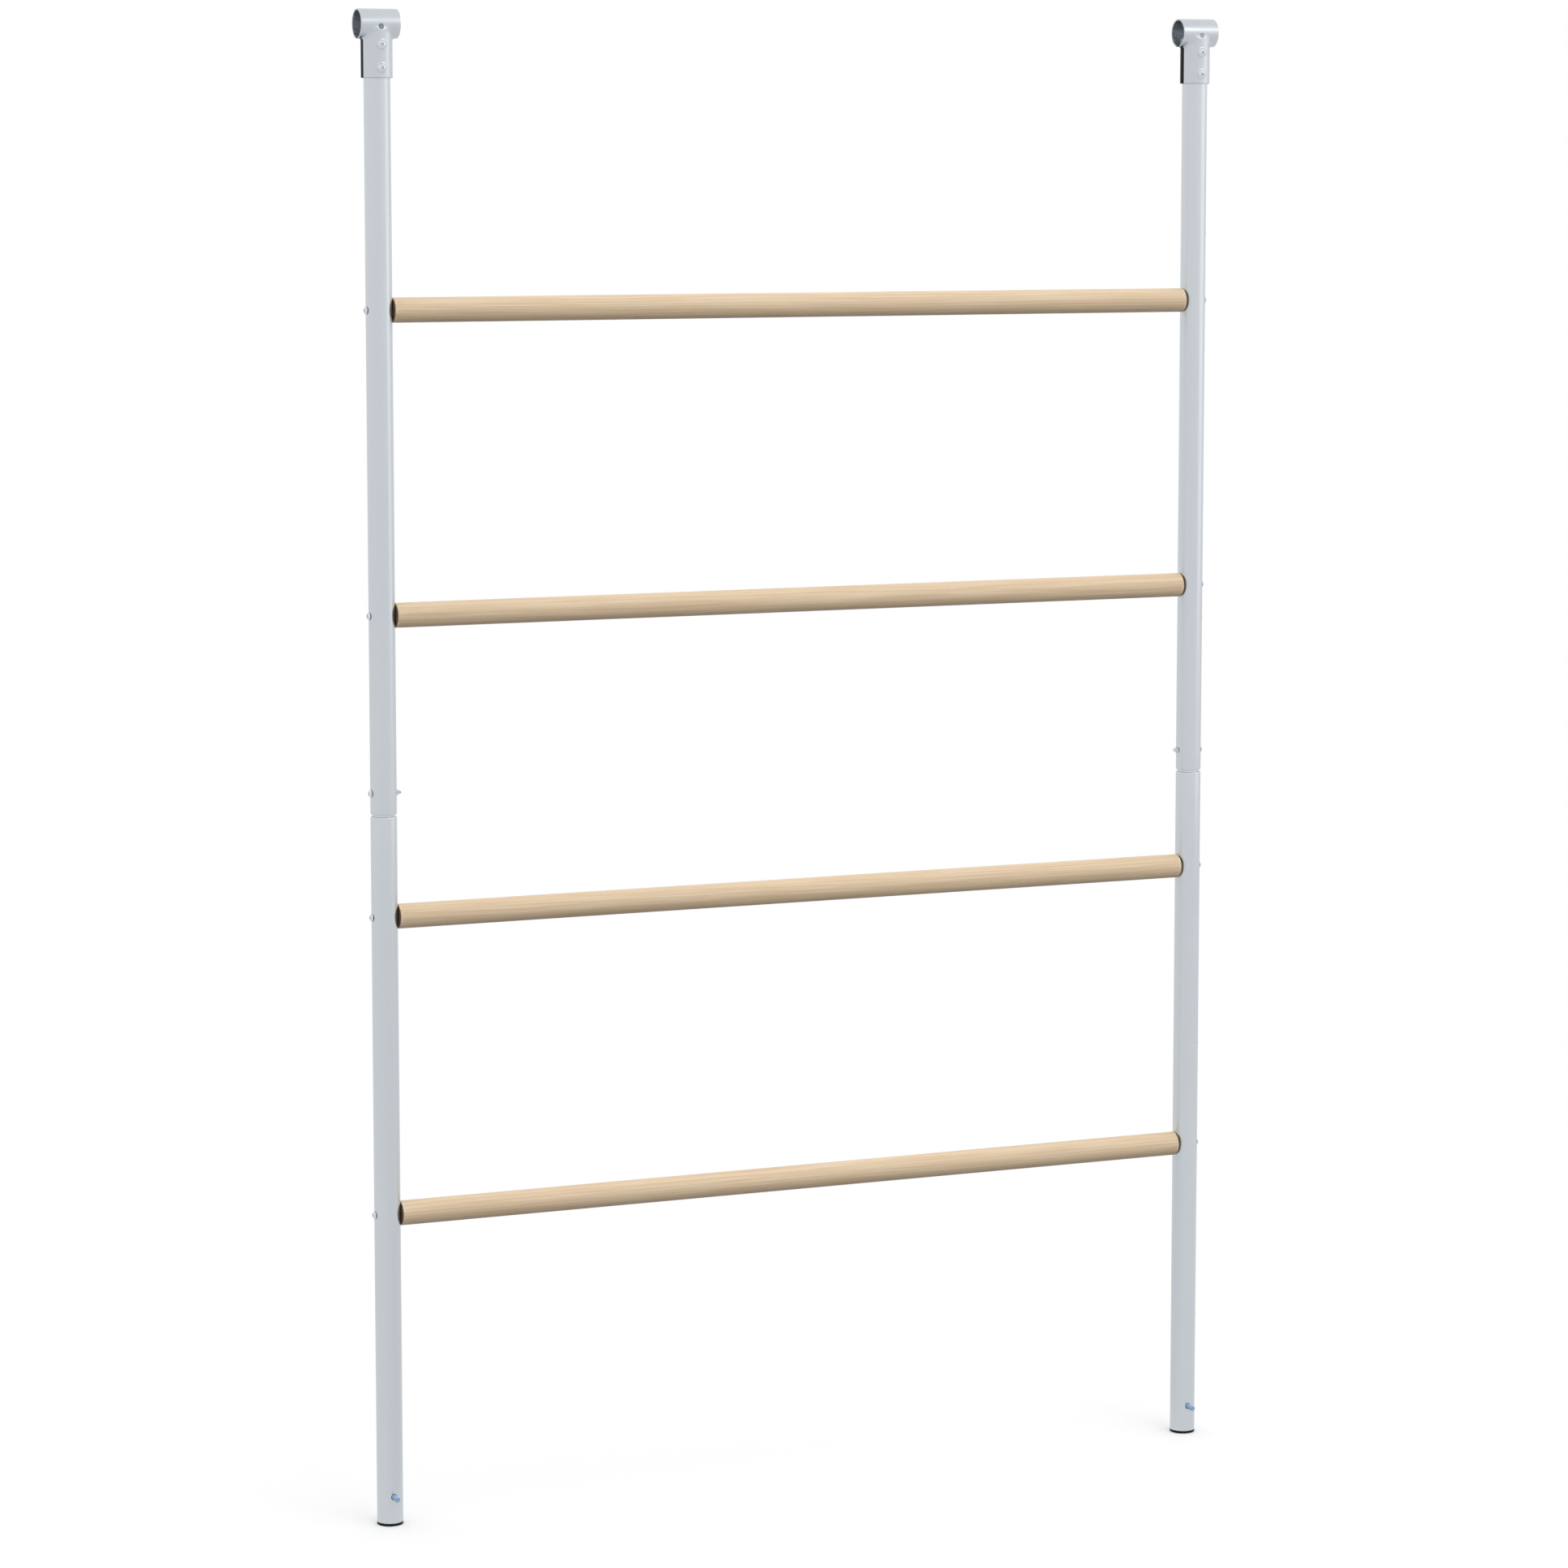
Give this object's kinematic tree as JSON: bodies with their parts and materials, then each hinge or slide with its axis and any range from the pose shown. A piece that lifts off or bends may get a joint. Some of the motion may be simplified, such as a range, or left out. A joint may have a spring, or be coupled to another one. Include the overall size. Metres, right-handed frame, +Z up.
{
  "type": "hanging ladder rack",
  "caption": "Wide hanging ladder rack: sectional tube posts, round wooden rungs, and tee clamps at the top that slide onto an overhead bar.",
  "frame": {"origin": "on the floor plane, midway between the two posts", "axes": "+X along the rungs to the right, -Y the front, +Z up along the posts"},
  "size_m": [1.254, 0.0602, 2.0116],
  "materials": {
    "post_paint": "gloss",
    "clamp_zinc": "gloss",
    "spigot_zinc": "satin",
    "screw_zinc": "satin",
    "insert_brass": "satin",
    "rung_wood": "satin lacquer",
    "black_plastic": "satin",
    "blue_plastic": "gloss"
  },
  "bodies": {
    "root": {"left_upper_post": "post_paint", "left_lower_post": "post_paint", "left_joint_spigot": "spigot_zinc", "left_joint_bolt": "screw_zinc", "left_joint_nut": "screw_zinc", "left_tee_clamp": "clamp_zinc", "left_clamp_liner": "black_plastic", "left_tee_bolts": "screw_zinc", "left_tee_nuts": "screw_zinc", "left_foot_cap": "black_plastic", "left_foot_peg": "blue_plastic", "right_upper_post": "post_paint", "right_lower_post": "post_paint", "right_joint_spigot": "spigot_zinc", "right_joint_bolt": "screw_zinc", "right_joint_nut": "screw_zinc", "right_tee_clamp": "clamp_zinc", "right_clamp_liner": "black_plastic", "right_tee_bolts": "screw_zinc", "right_tee_nuts": "screw_zinc", "right_foot_cap": "black_plastic", "right_foot_peg": "blue_plastic", "bottom_rung": "rung_wood", "bottom_rung_screws": "screw_zinc", "bottom_rung_inserts": "insert_brass", "lower_middle_rung": "rung_wood", "lower_middle_rung_screws": "screw_zinc", "lower_middle_rung_inserts": "insert_brass", "upper_middle_rung": "rung_wood", "upper_middle_rung_screws": "screw_zinc", "upper_middle_rung_inserts": "insert_brass", "top_rung": "rung_wood", "top_rung_screws": "screw_zinc", "top_rung_inserts": "insert_brass", "side_studs": "screw_zinc"}
  },
  "joints": []
}
